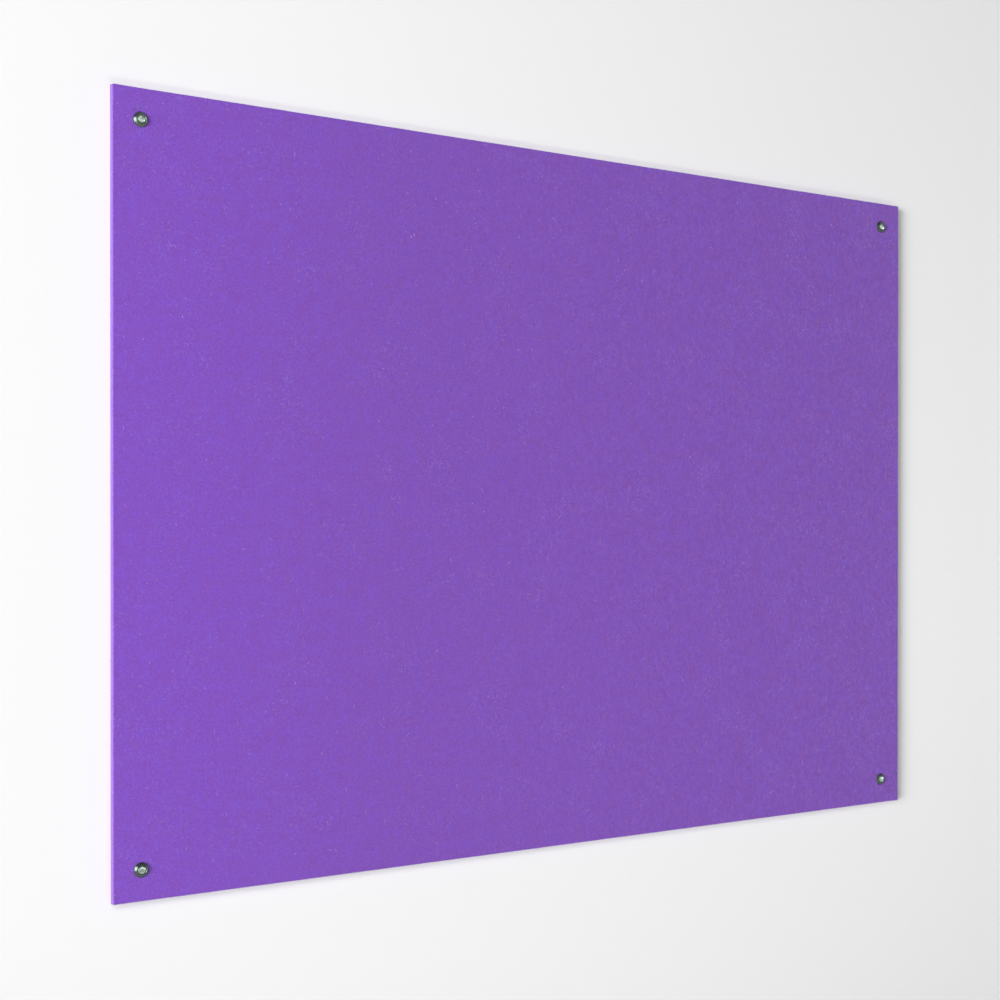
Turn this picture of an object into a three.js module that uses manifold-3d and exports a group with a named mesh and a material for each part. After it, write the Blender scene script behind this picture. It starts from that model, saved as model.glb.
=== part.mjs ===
// A pinboard without a frame: needle felt wrapped round a softboard core and stapled behind it.
// A screw in a cup washer goes through each corner, into a plug in the wall.
// Millimetres. +X is to the right, +Y goes into the wall and +Z is up.
// The origin is on the face of the wall, behind the centre of the board.

import * as THREE from 'three';
import Module from 'manifold-3d';
import { mergeVertices } from 'three/addons/utils/BufferGeometryUtils.js';

const wasm = await Module();
wasm.setup();

// Board
const boardWidth = 1200;
const boardHeight = 900;
const coreThickness = 9;
const feltThickness = 0.8;
const glueLine = 0.2;
const returnWidth = 25;
const bendRadius = 1.4;
const cornerEase = 1.1;
const mitreSeam = 0.6;

// Places of the fixings, from the edges of the board to their axes
const fixingLeftInset = 31.2;
const fixingRightInset = 36.8;
const fixingEndInset = 35;

// Screw with a raised countersunk head, whose length is taken from the edge of the head
const screwDiameter = 4;
const screwLength = 40;
const screwPoint = 6;
const headDiameter = 8.4;
const headLand = 0.3;
const headRise = 1.1;
const recessWidth = 4.6;
const recessWing = 1.1;
const recessDepth = 1.8;
const recessHubDiameter = 2.6;

// Cup washer pressed from sheet, with a seat cone at 45 degrees
const washerSheet = 0.6;
const washerHeight = 3.2;
const washerBrim = 3.6;
const washerLipDrop = 0.35;
const washerSeatFloor = 0.25;
const washerRimHeight = 0.35;
const washerRimWidth = 0.75;
const washerCrestShare = 0.22;
const washerSlopeBow = Math.PI / 6;

// Wall plug
const plugLength = 30;
const plugWall = 0.8;
const plugCollarWidth = 1.2;
const plugCollarThickness = 0.9;
const plugNeck = 6;
const plugTaper = 2.5;
const plugSlit = 0.9;
const plugRibDepth = 0.3;
const plugTipShare = 0.4;

// Staple
const stapleCrown = 10;
const stapleLeg = 6;
const wireWidth = 0.9;
const wireThickness = 0.6;
const stapleBend = 0.3;
const staplePoint = 0.7;
const stapleEdgeInset = 13;
const stapleEndInset = 60;
const stapleCornerInset = 15;

// Clearances
const holeClearance = 0.5;
const washerHoleClearance = 0.3;
const seatClearance = 0.2;
const plugBoreClearance = 0.3;
const stapleSeat = 0.3;
const stapleClearance = 0.3;
const overrun = 2;

// Counts
const staplesAcross = 10;
const staplesUp = 7;
const plugRibs = 5;
const bendSteps = 3;
const cornerSteps = 2;
const domeSteps = 4;
const slopeSteps = 4;
const undersideSteps = 2;
const lipSteps = 2;
const stapleBendSteps = 1;
const holeSides = 20;
const washerSides = 24;
const screwSides = 20;
const hubSides = 12;
const plugSides = 16;

// Places worked out from the sizes
const wrap = feltThickness + glueLine;
const boardThickness = coreThickness + 2 * wrap;
const frontFace = -boardThickness;
const coreBack = -wrap;
const cornerRadius = bendRadius + cornerEase;
const screwRadius = screwDiameter / 2;
const headRadius = headDiameter / 2;
const holeRadius = screwRadius + holeClearance;

const felt = new THREE.MeshStandardMaterial({ color: 0x8356bd, roughness: 0.95, metalness: 0 });
const softboard = new THREE.MeshStandardMaterial({ color: 0xb39468, roughness: 0.92, metalness: 0 });
const nickel = new THREE.MeshStandardMaterial({ color: 0xb4b8ad, roughness: 0.22, metalness: 1 });
const zinc = new THREE.MeshStandardMaterial({ color: 0xc9cfc6, roughness: 0.28, metalness: 1 });
const nylon = new THREE.MeshStandardMaterial({ color: 0x9ea1a0, roughness: 0.5, metalness: 0 });
const wire = new THREE.MeshStandardMaterial({ color: 0xb9bcbd, roughness: 0.35, metalness: 1 });

const pinboard = new THREE.Group();

function addPiece(name, geometry, material, { x = 0, z = 0, turn = 0 } = {}) {
  const mesh = new THREE.Mesh(geometry, material);
  mesh.name = name;
  mesh.position.set(x, 0, z);
  mesh.rotation.y = turn;
  pinboard.add(mesh);
}

function solidFrom(geometry) {
  const bare = new THREE.BufferGeometry();
  bare.setAttribute('position', geometry.getAttribute('position'));
  bare.setIndex(geometry.getIndex());
  const merged = mergeVertices(bare);
  return new wasm.Manifold(new wasm.Mesh({
    numProp: 3,
    vertProperties: merged.getAttribute('position').array,
    triVerts: new Uint32Array(merged.getIndex().array),
  }));
}

function geometryFrom(solid) {
  const mesh = solid.getMesh();
  const geometry = new THREE.BufferGeometry();
  geometry.setAttribute('position', new THREE.BufferAttribute(mesh.vertProperties, mesh.numProp));
  geometry.setIndex(new THREE.BufferAttribute(mesh.triVerts, 1));
  return geometry;
}

function cutAll(solid, cutters) {
  return cutters.reduce((rest, cutter) => rest.subtract(solidFrom(cutter)), solid);
}

// A rectangle with round corners, drawn on the wall as X and Z
function roundedRectangle(width, height, radius) {
  const right = width / 2;
  const top = height / 2;
  const outline = new THREE.Shape();
  outline.moveTo(radius - right, -top);
  outline.absarc(right - radius, radius - top, radius, -Math.PI / 2, 0);
  outline.absarc(right - radius, top - radius, radius, 0, Math.PI / 2);
  outline.absarc(radius - right, top - radius, radius, Math.PI / 2, Math.PI);
  outline.absarc(radius - right, radius - top, radius, Math.PI, 1.5 * Math.PI);
  return outline;
}

// An outline drawn on the wall, pulled out from one distance behind the front to another
function slab(outline, back, front, roundedBy = 0) {
  const geometry = new THREE.ExtrudeGeometry(outline, {
    depth: back - front - 2 * roundedBy,
    curveSegments: cornerSteps,
    bevelEnabled: roundedBy > 0,
    bevelThickness: roundedBy,
    bevelSize: roundedBy,
    bevelOffset: -roundedBy,
    bevelSegments: bendSteps,
  });
  geometry.rotateX(Math.PI / 2);
  geometry.translate(0, back - roundedBy, 0);
  return geometry;
}

function box(width, back, front, height) {
  const geometry = new THREE.BoxGeometry(width, back - front, height);
  geometry.translate(0, (back + front) / 2, 0);
  return geometry;
}

function placed(geometry, { x, z, turn = 0 }) {
  geometry.rotateY(turn);
  geometry.translate(x, 0, z);
  return geometry;
}

// The hole of a fixing, right through the board
function hole({ x, z }) {
  const length = boardThickness + 2 * overrun;
  const geometry = new THREE.CylinderGeometry(holeRadius, holeRadius, length, holeSides);
  geometry.translate(0, frontFace / 2, 0);
  return placed(geometry, { x, z });
}

// Points on a quarter of an ellipse, from one angle to another
function quarter(centre, across, along, from, to, steps) {
  const points = [];
  for (let step = 0; step <= steps; step += 1) {
    const angle = from + (to - from) * step / steps;
    points.push(new THREE.Vector2(
      centre.x + across * Math.cos(angle),
      centre.y + along * Math.sin(angle),
    ));
  }
  return points;
}

// Points on an arc from one point to another, which turns through an angle
function bowed(from, to, turn, steps) {
  const chord = to.clone().sub(from);
  const radius = chord.length() / 2 / Math.sin(turn / 2);
  const start = chord.angle() - turn / 2;
  const points = [from];
  for (let step = 1; step <= steps; step += 1) {
    const heading = start + turn * (step - 1 / 2) / steps;
    const length = 2 * radius * Math.sin(turn / steps / 2);
    const last = points[points.length - 1];
    points.push(new THREE.Vector2(
      last.x + length * Math.cos(heading),
      last.y + length * Math.sin(heading),
    ));
  }
  return points;
}

// Corners of the board
const corners = [
  { name: 'top_left', side: -1, end: 1, fixingInset: fixingLeftInset, recessTurn: 0.35 },
  { name: 'top_right', side: 1, end: 1, fixingInset: fixingRightInset, recessTurn: 1.05 },
  { name: 'bottom_left', side: -1, end: -1, fixingInset: fixingLeftInset, recessTurn: 0.8 },
  { name: 'bottom_right', side: 1, end: -1, fixingInset: fixingRightInset, recessTurn: 0.15 },
];

const fixings = corners.map((corner) => ({
  ...corner,
  x: corner.side * (boardWidth / 2 - corner.fixingInset),
  z: corner.end * (boardHeight / 2 - fixingEndInset),
}));

// Staples along the four returns, and one across each mitre
function spread(count, length) {
  return Array.from({ length: count }, (_, index) => length * (index / (count - 1) - 0.5));
}

function listStaples() {
  const list = [];
  const number = (index) => String(index + 1).padStart(2, '0');
  const railHeight = boardHeight / 2 - stapleEdgeInset;
  const railSide = boardWidth / 2 - stapleEdgeInset;
  spread(staplesAcross, boardWidth - 2 * stapleEndInset).forEach((x, index) => {
    list.push({ name: `staple_top_${number(index)}`, x, z: railHeight });
    list.push({ name: `staple_bottom_${number(index)}`, x, z: -railHeight });
  });
  spread(staplesUp, boardHeight - 2 * stapleEndInset).forEach((z, index) => {
    list.push({ name: `staple_left_${number(index)}`, x: -railSide, z, turn: Math.PI / 2 });
    list.push({ name: `staple_right_${number(index)}`, x: railSide, z, turn: Math.PI / 2 });
  });
  corners.forEach(({ name, side, end }) => list.push({
    name: `staple_corner_${name}`,
    x: side * (boardWidth / 2 - stapleCornerInset),
    z: end * (boardHeight / 2 - stapleCornerInset),
    turn: side * end * Math.PI / 4,
  }));
  return list;
}

const staples = listStaples();
const crownFront = coreBack + stapleSeat;
const crownBack = crownFront + wireThickness;
const legTip = crownBack - stapleLeg;

// The room that a staple's crown takes in the felt, and its legs in the core
function crownRoom(staple) {
  const length = stapleCrown + 2 * stapleClearance;
  return placed(box(length, overrun, coreBack, wireWidth + 2 * stapleClearance), staple);
}

function legRooms(staple) {
  const width = wireThickness + 2 * stapleClearance;
  const height = wireWidth + 2 * stapleClearance;
  return [-1, 1].map((side) => {
    const room = box(width, overrun, legTip - stapleClearance, height);
    room.translate(side * (stapleCrown - wireThickness) / 2, 0, 0);
    return placed(room, staple);
  });
}

// Softboard core, drilled at the corners and with the marks that the staples drive into it
function makeCore() {
  const outline = roundedRectangle(boardWidth - 2 * wrap, boardHeight - 2 * wrap, cornerRadius - wrap);
  const board = solidFrom(slab(outline, coreBack, coreBack - coreThickness));
  return geometryFrom(cutAll(board, [...fixings.map(hole), ...staples.flatMap(legRooms)]));
}

// Felt cover, one sheet over the front and the edges, turned over the back and mitred at its corners
function mitreCut(corner) {
  const bend = wrap + bendRadius;
  const length = Math.SQRT2 * (returnWidth - bend + overrun);
  const inset = (returnWidth + bend + overrun) / 2;
  return placed(box(length, overrun, -feltThickness - glueLine / 2, mitreSeam), {
    x: corner.side * (boardWidth / 2 - inset),
    z: corner.end * (boardHeight / 2 - inset),
    turn: -corner.side * corner.end * Math.PI / 4,
  });
}

function makeCover() {
  const outside = roundedRectangle(boardWidth, boardHeight, cornerRadius);
  const inside = roundedRectangle(
    boardWidth - 2 * feltThickness,
    boardHeight - 2 * feltThickness,
    cornerRadius - feltThickness,
  );
  const wrapped = solidFrom(slab(outside, 0, frontFace, bendRadius));
  return geometryFrom(cutAll(wrapped, [
    slab(inside, -feltThickness, frontFace + feltThickness),
    box(boardWidth - 2 * returnWidth, overrun, coreBack, boardHeight - 2 * returnWidth),
    ...fixings.map(hole),
    ...corners.map(mitreCut),
    ...staples.map(crownRoom),
  ]));
}

// Cup washer, whose brim and seat both meet the felt
const seatRadius = screwRadius + washerHoleClearance;
const seatMouthHeight = washerHeight - washerLipDrop;
const seatMouthRadius = seatRadius + seatMouthHeight - washerSeatFloor;
const washerRadius = seatMouthRadius + washerBrim;

function makeWasher() {
  const crestRadius = seatMouthRadius + washerBrim * washerCrestShare;
  const underside = seatRadius - washerSeatFloor + Math.SQRT2 * washerSheet;
  const innerHeight = washerHeight - washerSheet;
  const innerCrest = new THREE.Vector2(underside + innerHeight, innerHeight);
  const innerFoot = new THREE.Vector2(washerRadius - washerRimWidth, 0);
  const rim = new THREE.Vector2(washerRadius, washerRimHeight);
  const crest = new THREE.Vector2(crestRadius, washerHeight);
  const lipWidth = crestRadius - seatMouthRadius;
  const lipCentre = new THREE.Vector2(crestRadius, seatMouthHeight);
  const profile = [
    new THREE.Vector2(seatRadius, 0),
    new THREE.Vector2(underside, 0),
    ...bowed(innerCrest, innerFoot, -washerSlopeBow, undersideSteps),
    new THREE.Vector2(washerRadius, 0),
    ...bowed(rim, crest, washerSlopeBow, slopeSteps),
    ...quarter(lipCentre, lipWidth, washerLipDrop, Math.PI / 2, Math.PI, lipSteps).slice(1),
    new THREE.Vector2(seatRadius, washerSeatFloor),
    new THREE.Vector2(seatRadius, 0),
  ];
  return turned(profile, washerSides);
}

// A profile of radii and heights above the felt, turned about the axis of a fixing
function turned(profile, sides) {
  const geometry = new THREE.LatheGeometry(profile, sides);
  geometry.rotateX(Math.PI);
  geometry.translate(0, frontFace, 0);
  return geometryFrom(solidFrom(geometry));
}

// Screw, seated in the cone of the washer
const headEdge = headRadius - (seatRadius - washerSeatFloor - Math.SQRT2 * seatClearance);
const headTop = headEdge + headLand + headRise;
const screwTip = headEdge - screwLength;

function makeRecessCutters(turn) {
  const long = recessWidth / 2;
  const short = recessWing / 2;
  const outline = new THREE.Shape([
    new THREE.Vector2(long, -short),
    new THREE.Vector2(long, short),
    new THREE.Vector2(short, short),
    new THREE.Vector2(short, long),
    new THREE.Vector2(-short, long),
    new THREE.Vector2(-short, short),
    new THREE.Vector2(-long, short),
    new THREE.Vector2(-long, -short),
    new THREE.Vector2(-short, -short),
    new THREE.Vector2(-short, -long),
    new THREE.Vector2(short, -long),
    new THREE.Vector2(short, -short),
  ]);
  const floor = frontFace - headTop + recessDepth;
  const top = frontFace - headTop - overrun;
  const wings = slab(outline, floor, top);
  wings.rotateY(turn);
  const hub = new THREE.CylinderGeometry(recessHubDiameter / 2, recessHubDiameter / 2, floor - top, hubSides);
  hub.translate(0, (floor + top) / 2, 0);
  return [wings, hub];
}

function makeScrew(recessTurn) {
  const domeFoot = new THREE.Vector2(0, headEdge + headLand);
  const profile = [
    new THREE.Vector2(0, screwTip),
    new THREE.Vector2(screwRadius, screwTip + screwPoint),
    new THREE.Vector2(screwRadius, headEdge - headRadius + screwRadius),
    new THREE.Vector2(headRadius, headEdge),
    ...quarter(domeFoot, headRadius, headRise, 0, Math.PI / 2, domeSteps),
  ];
  const blank = solidFrom(turned(profile, screwSides));
  return geometryFrom(cutAll(blank, makeRecessCutters(recessTurn)));
}

// Wall plug round the screw, flush with the wall, open at both ends and split from its neck to its end
function makePlug() {
  const boreRadius = screwRadius + plugBoreClearance;
  const bodyRadius = boreRadius + plugWall;
  const collarRadius = bodyRadius + plugCollarWidth;
  const ribsEnd = plugLength - plugTaper;
  const ribPitch = (ribsEnd - plugNeck) / plugRibs;
  const profile = [
    new THREE.Vector2(boreRadius, 0),
    new THREE.Vector2(collarRadius, 0),
    new THREE.Vector2(collarRadius, plugCollarThickness),
    new THREE.Vector2(bodyRadius, plugCollarThickness),
  ];
  for (let rib = 0; rib < plugRibs; rib += 1) {
    const start = plugNeck + rib * ribPitch;
    profile.push(new THREE.Vector2(bodyRadius, start));
    profile.push(new THREE.Vector2(bodyRadius - plugRibDepth, start));
  }
  profile.push(
    new THREE.Vector2(bodyRadius, ribsEnd),
    new THREE.Vector2(boreRadius + plugWall * plugTipShare, plugLength),
    new THREE.Vector2(boreRadius, plugLength),
    new THREE.Vector2(boreRadius, 0),
  );
  const shell = new THREE.LatheGeometry(profile, plugSides);
  const slit = box(2 * (bodyRadius + overrun), plugLength + overrun, plugNeck, plugSlit);
  return geometryFrom(cutAll(solidFrom(shell), [slit]));
}

// Staple, a bent wire whose crown lies in the felt and whose legs stand in the core
function makeStaple() {
  const outer = stapleCrown / 2;
  const inner = outer - wireThickness;
  const outerBend = stapleBend + wireThickness;
  const outline = new THREE.Shape();
  outline.moveTo(-outer, legTip + staplePoint);
  outline.lineTo(-inner, legTip);
  outline.absarc(-inner + stapleBend, crownFront - stapleBend, stapleBend, Math.PI, Math.PI / 2, true);
  outline.absarc(inner - stapleBend, crownFront - stapleBend, stapleBend, Math.PI / 2, 0, true);
  outline.lineTo(inner, legTip);
  outline.lineTo(outer, legTip + staplePoint);
  outline.absarc(outer - outerBend, crownBack - outerBend, outerBend, 0, Math.PI / 2, false);
  outline.absarc(outerBend - outer, crownBack - outerBend, outerBend, Math.PI / 2, Math.PI, false);
  const options = { depth: wireWidth, bevelEnabled: false, curveSegments: stapleBendSteps };
  const geometry = new THREE.ExtrudeGeometry(outline, options);
  geometry.translate(0, 0, -wireWidth / 2);
  return geometry;
}

addPiece('core_board', makeCore(), softboard);
addPiece('felt_cover', makeCover(), felt);

const washer = makeWasher();
const plug = makePlug();
fixings.forEach(({ name, x, z, recessTurn }) => {
  addPiece(`cup_washer_${name}`, washer, nickel, { x, z });
  addPiece(`screw_${name}`, makeScrew(recessTurn), zinc, { x, z });
  addPiece(`wall_plug_${name}`, plug, nylon, { x, z });
});

const staple = makeStaple();
staples.forEach(({ name, x, z, turn }) => addPiece(name, staple, wire, { x, z, turn }));

export default pinboard;
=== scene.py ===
"""A felt pinboard screwed to a wall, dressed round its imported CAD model.

Metres. +X is to the right, +Y goes into the wall and +Z is up.
"""

import math

import bmesh
import bpy
import numpy as np
from mathutils import Matrix, Vector, noise


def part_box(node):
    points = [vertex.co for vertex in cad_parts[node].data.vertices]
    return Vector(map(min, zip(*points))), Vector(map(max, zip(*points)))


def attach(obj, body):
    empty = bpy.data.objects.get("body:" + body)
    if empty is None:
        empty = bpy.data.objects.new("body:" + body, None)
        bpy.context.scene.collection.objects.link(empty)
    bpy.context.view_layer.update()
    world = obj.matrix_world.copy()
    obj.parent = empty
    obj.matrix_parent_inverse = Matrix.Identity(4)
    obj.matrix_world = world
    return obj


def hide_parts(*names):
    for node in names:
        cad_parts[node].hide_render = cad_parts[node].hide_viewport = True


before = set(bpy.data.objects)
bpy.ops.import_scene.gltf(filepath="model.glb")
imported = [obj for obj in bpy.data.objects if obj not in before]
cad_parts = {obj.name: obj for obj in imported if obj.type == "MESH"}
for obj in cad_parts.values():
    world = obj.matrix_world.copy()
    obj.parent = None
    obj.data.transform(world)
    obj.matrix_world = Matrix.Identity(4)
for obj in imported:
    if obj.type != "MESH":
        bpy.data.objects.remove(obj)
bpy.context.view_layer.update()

MM = 0.001
UPRIGHT = math.pi / 2
CORNERS = ("top_left", "top_right", "bottom_left", "bottom_right")

# Board, with its outside read from the frame
BOARD_LOW, BOARD_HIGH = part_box("felt_cover")
HALF_WIDTH = BOARD_HIGH.x
HALF_HEIGHT = BOARD_HIGH.z
FRONT = BOARD_LOW.y
BACK = BOARD_HIGH.y
FELT_THICKNESS = 0.8 * MM
RETURN_WIDTH = 25 * MM
BEND_RADIUS = 0.95 * MM
CORNER_RADIUS = 1.2 * MM
MITRE_SEAM = 0.6 * MM
HOLE_RADIUS = 2.5 * MM
HOLE_SIDES = 40
OVERRUN = 2 * MM

# View of the photograph, from the places of the board's corners in it
PHOTO_WIDTH = 1000
FOCAL_PIXELS = 1472.13
CONTENT_DROP_PIXELS = 31.34
SENSOR_WIDTH_MM = 36
VIEW_AZIMUTH = math.radians(-31.1150)
VIEW_ELEVATION = math.radians(0.2056)
VIEW_DISTANCE = 1.88114
VIEW_TARGET = Vector((-0.09834, 0, -0.04114))


# Small helpers
def srgb(code):
    """Linear colour of a hexadecimal sRGB code."""
    channels = [(code >> shift & 255) / 255 for shift in (16, 8, 0)]
    linear = [c / 12.92 if c <= 0.04045 else ((c + 0.055) / 1.055) ** 2.4 for c in channels]
    return (*linear, 1)


def add_object(name, mesh):
    piece = bpy.data.objects.new(name, mesh)
    bpy.context.scene.collection.objects.link(piece)
    return piece


def mesh_from(name, points, faces, smooth_angle=40):
    """A closed mesh with its doubles merged, its faces pointing outwards and smooth below an angle."""
    mesh = bpy.data.meshes.new(name)
    mesh.from_pydata([tuple(point) for point in points], [], faces)
    bm = bmesh.new()
    bm.from_mesh(mesh)
    bmesh.ops.remove_doubles(bm, verts=bm.verts, dist=0.0005 * MM)
    bmesh.ops.recalc_face_normals(bm, faces=bm.faces)
    bm.to_mesh(mesh)
    bm.free()
    smooth(mesh, smooth_angle)
    return mesh


def smooth(mesh, angle):
    mesh.polygons.foreach_set("use_smooth", [True] * len(mesh.polygons))
    mesh.set_sharp_from_angle(angle=math.radians(angle))


def settled(piece):
    """The piece with its modifiers applied to a plain mesh."""
    graph = bpy.context.evaluated_depsgraph_get()
    mesh = bpy.data.meshes.new_from_object(piece.evaluated_get(graph))
    mesh.name = piece.name
    piece.modifiers.clear()
    piece.data = mesh
    return piece


def combine(piece, other, operation="DIFFERENCE"):
    """Cuts one mesh object out of another, or joins it on, and removes it."""
    boolean = piece.modifiers.new("combine", "BOOLEAN")
    boolean.operation = operation
    boolean.solver = "EXACT"
    boolean.object = other
    settled(piece)
    bpy.data.objects.remove(other)
    return piece


def placed_at(mesh, x, z, turn=0):
    """Turns a mesh about its own Y and moves it across the wall."""
    mesh.transform(Matrix.Translation((x, 0, z)) @ Matrix.Rotation(turn, 4, "Y"))
    return mesh


def box_points(width, front, back, height):
    xs, ys, zs = (-width / 2, width / 2), (front, back), (-height / 2, height / 2)
    return [(x, y, z) for x in xs for y in ys for z in zs]


BOX_FACES = [(0, 1, 3, 2), (4, 6, 7, 5), (0, 4, 5, 1), (2, 3, 7, 6), (0, 2, 6, 4), (1, 5, 7, 3)]


def joined(name, meshes):
    """Several meshes as one object."""
    bm = bmesh.new()
    for mesh in meshes:
        bm.from_mesh(mesh)
    whole = bpy.data.meshes.new(name)
    bm.to_mesh(whole)
    bm.free()
    return add_object(name, whole)


def arc(centre, across, along, start, end, steps):
    """Gives a finished piece its material and its body, and hides the nodes that it stands for."""
    angles = [start + (end - start) * step / steps for step in range(steps + 1)]
    return [(centre[0] + across * math.cos(a), centre[1] + along * math.sin(a)) for a in angles]


def lathe(name, profile, sides, base=0.0, smooth_angle=40):
    """A profile of radii and heights turned about the Y axis, with the heights coming out of the wall.

    It closes on itself, or starts and ends on the axis.
    """
    points, faces = [], []
    for step in range(sides):
        angle = 2 * math.pi * step / sides
        points += [(r * math.cos(angle), base - height, r * math.sin(angle)) for r, height in profile]
    rows = len(profile)
    for step in range(sides):
        here, after = step * rows, (step + 1) % sides * rows
        for row in range(rows - 1):
            faces.append((here + row, here + row + 1, after + row + 1, after + row))
    return mesh_from(name, points, faces, smooth_angle)


def swept(name, rings, smooth_angle=50):
    """A closed tube through rings of points, with flat ends."""
    sides = len(rings[0])
    points = [point for ring in rings for point in ring]
    faces = [tuple(range(sides)), tuple(range(len(points) - sides, len(points)))]
    for row in range(len(rings) - 1):
        for step in range(sides):
            here, after = row * sides + step, row * sides + (step + 1) % sides
            faces.append((here, after, after + sides, here + sides))
    return mesh_from(name, points, faces, smooth_angle)


# Node helpers
class Tree:
    """A node tree that is written as plain calls."""

    def __init__(self, tree):
        self.tree = tree

    def node(self, kind, **settings):
        node = self.tree.nodes.new(kind)
        for name, value in settings.items():
            setattr(node, name, value)
        return node

    def link(self, source, target):
        self.tree.links.new(source, target)

    def fill(self, node, values):
        """Sets or links a node's inputs, by name or number."""
        for name, value in values.items():
            if isinstance(value, bpy.types.NodeSocket):
                self.link(value, node.inputs[name])
            else:
                node.inputs[name].default_value = value
        return node

    def math(self, operation, a, b=0.0):
        node = self.node("ShaderNodeMath", operation=operation)
        return self.fill(node, {0: a, 1: b}).outputs[0]

    def axis(self, vector, name):
        """One coordinate of a vector."""
        node = self.node("ShaderNodeSeparateXYZ")
        return self.fill(node, {0: vector}).outputs[name]


class Finish(Tree):
    """A material on one Principled shader, with patterns on Object coordinates."""

    def __init__(self, name, **sockets):
        self.material = bpy.data.materials.new(name)
        self.material.use_nodes = True
        super().__init__(self.material.node_tree)
        self.shader = self.tree.nodes["Principled BSDF"]
        self.fill(self.shader, {key.replace("_", " "): value for key, value in sockets.items()})
        self.place = self.node("ShaderNodeTexCoord").outputs["Object"]
        self.shifted = self.stretched((1, 1, 1), (0.4, 0.7, 0.2))

    def stretched(self, scale, turn=(0, 0, 0)):
        node = self.node("ShaderNodeMapping")
        self.fill(node, {"Vector": self.place, "Scale": scale, "Rotation": turn})
        return node.outputs[0]

    def noise(self, scale, detail=2, roughness=0.5, distortion=0, place=None):
        node = self.node("ShaderNodeTexNoise")
        values = {"Vector": place or self.place, "Scale": scale, "Detail": detail}
        values.update({"Roughness": roughness, "Distortion": distortion})
        return self.fill(node, values).outputs["Fac"]

    def between(self, value, low, high, to_low=0.0, to_high=1.0):
        """The value, mapped from one range to another and clamped there."""
        node = self.node("ShaderNodeMapRange")
        self.fill(node, {0: value, 1: low, 2: high, 3: to_low, 4: to_high})
        return node.outputs[0]

    def blend(self, share, first, second):
        node = self.node("ShaderNodeMix", data_type="RGBA")
        self.fill(node, {0: share, 6: first, 7: second})
        return node.outputs[2]

    def tones(self, share, pair):
        """A blend of a pair of sRGB codes."""
        return self.blend(share, srgb(pair[0]), srgb(pair[1]))

    def bump(self, height, distance, strength=1.0, under=None):
        node = self.node("ShaderNodeBump")
        self.fill(node, {"Height": height, "Distance": distance, "Strength": strength})
        if under:
            self.link(under, node.inputs["Normal"])
        return node.outputs[0]

    def give(self, **sockets):
        self.fill(self.shader, {key.replace("_", " "): value for key, value in sockets.items()})
        return self.material


class Maker(Tree):
    """A geometry node tree with named inputs."""

    def __init__(self, name, **kinds):
        super().__init__(bpy.data.node_groups.new(name, "GeometryNodeTree"))
        self.names = {}
        for label, kind in kinds.items():
            socket = self.tree.interface.new_socket(label, in_out="INPUT", socket_type=f"NodeSocket{kind}")
            self.names[label] = socket.identifier
        self.tree.interface.new_socket("Result", in_out="OUTPUT", socket_type="NodeSocketGeometry")
        self.given = self.node("NodeGroupInput").outputs

    def step(self, kind, values, output=0, **settings):
        return self.fill(self.node(kind, **settings), values).outputs[output]

    def random(self, low, high, seed, kind="FLOAT"):
        slots = {"FLOAT": (2, 3, 1), "INT": (4, 5, 2)}[kind]
        values = {slots[0]: low, slots[1]: high, "Seed": seed}
        return self.step("FunctionNodeRandomValue", values, slots[2], data_type=kind)

    def finish(self, geometry):
        """Makes the result real, with the material that was given."""
        real = self.step("GeometryNodeRealizeInstances", {0: geometry})
        done = self.step("GeometryNodeSetMaterial", {"Geometry": real, "Material": self.given["Finish"]})
        self.link(done, self.node("NodeGroupOutput").inputs[0])

    def run(self, piece, **values):
        """Applies the tree to a piece, as a plain mesh."""
        modifier = piece.modifiers.new(self.tree.name, "NODES")
        modifier.node_group = self.tree
        for label, value in values.items():
            modifier[self.names[label]] = value
        return settled(piece)


# Camera
def make_camera():
    data = bpy.data.cameras.new("photograph_view")
    data.sensor_width = SENSOR_WIDTH_MM
    data.lens = FOCAL_PIXELS * SENSOR_WIDTH_MM / PHOTO_WIDTH
    data.shift_y = CONTENT_DROP_PIXELS / PHOTO_WIDTH
    data.dof.use_dof = False
    camera = bpy.data.objects.new("photograph_view", data)
    bpy.context.scene.collection.objects.link(camera)
    level = math.cos(VIEW_ELEVATION)
    across, forwards = math.sin(VIEW_AZIMUTH) * level, -math.cos(VIEW_AZIMUTH) * level
    towards = Vector((across, forwards, math.sin(VIEW_ELEVATION)))
    camera.location = VIEW_TARGET + towards * VIEW_DISTANCE
    camera.rotation_euler = towards.to_track_quat("Z", "Y").to_euler()
    bpy.context.scene.camera = camera


# Stage: a wall and a floor
WALL_REACH = 6.0
WALL_TOP = 3.5
WALL_GAP = 0.05 * MM
WALL_WINDOW_INSET = 2 * MM
FLOOR_LEVEL = -1.35
WALL_COLOUR = srgb(0xF7F7F8)
FLOOR_COLOUR = srgb(0xECEBE9)
FLOOR_BOUNCE = srgb(0x8C8B89)


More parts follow.
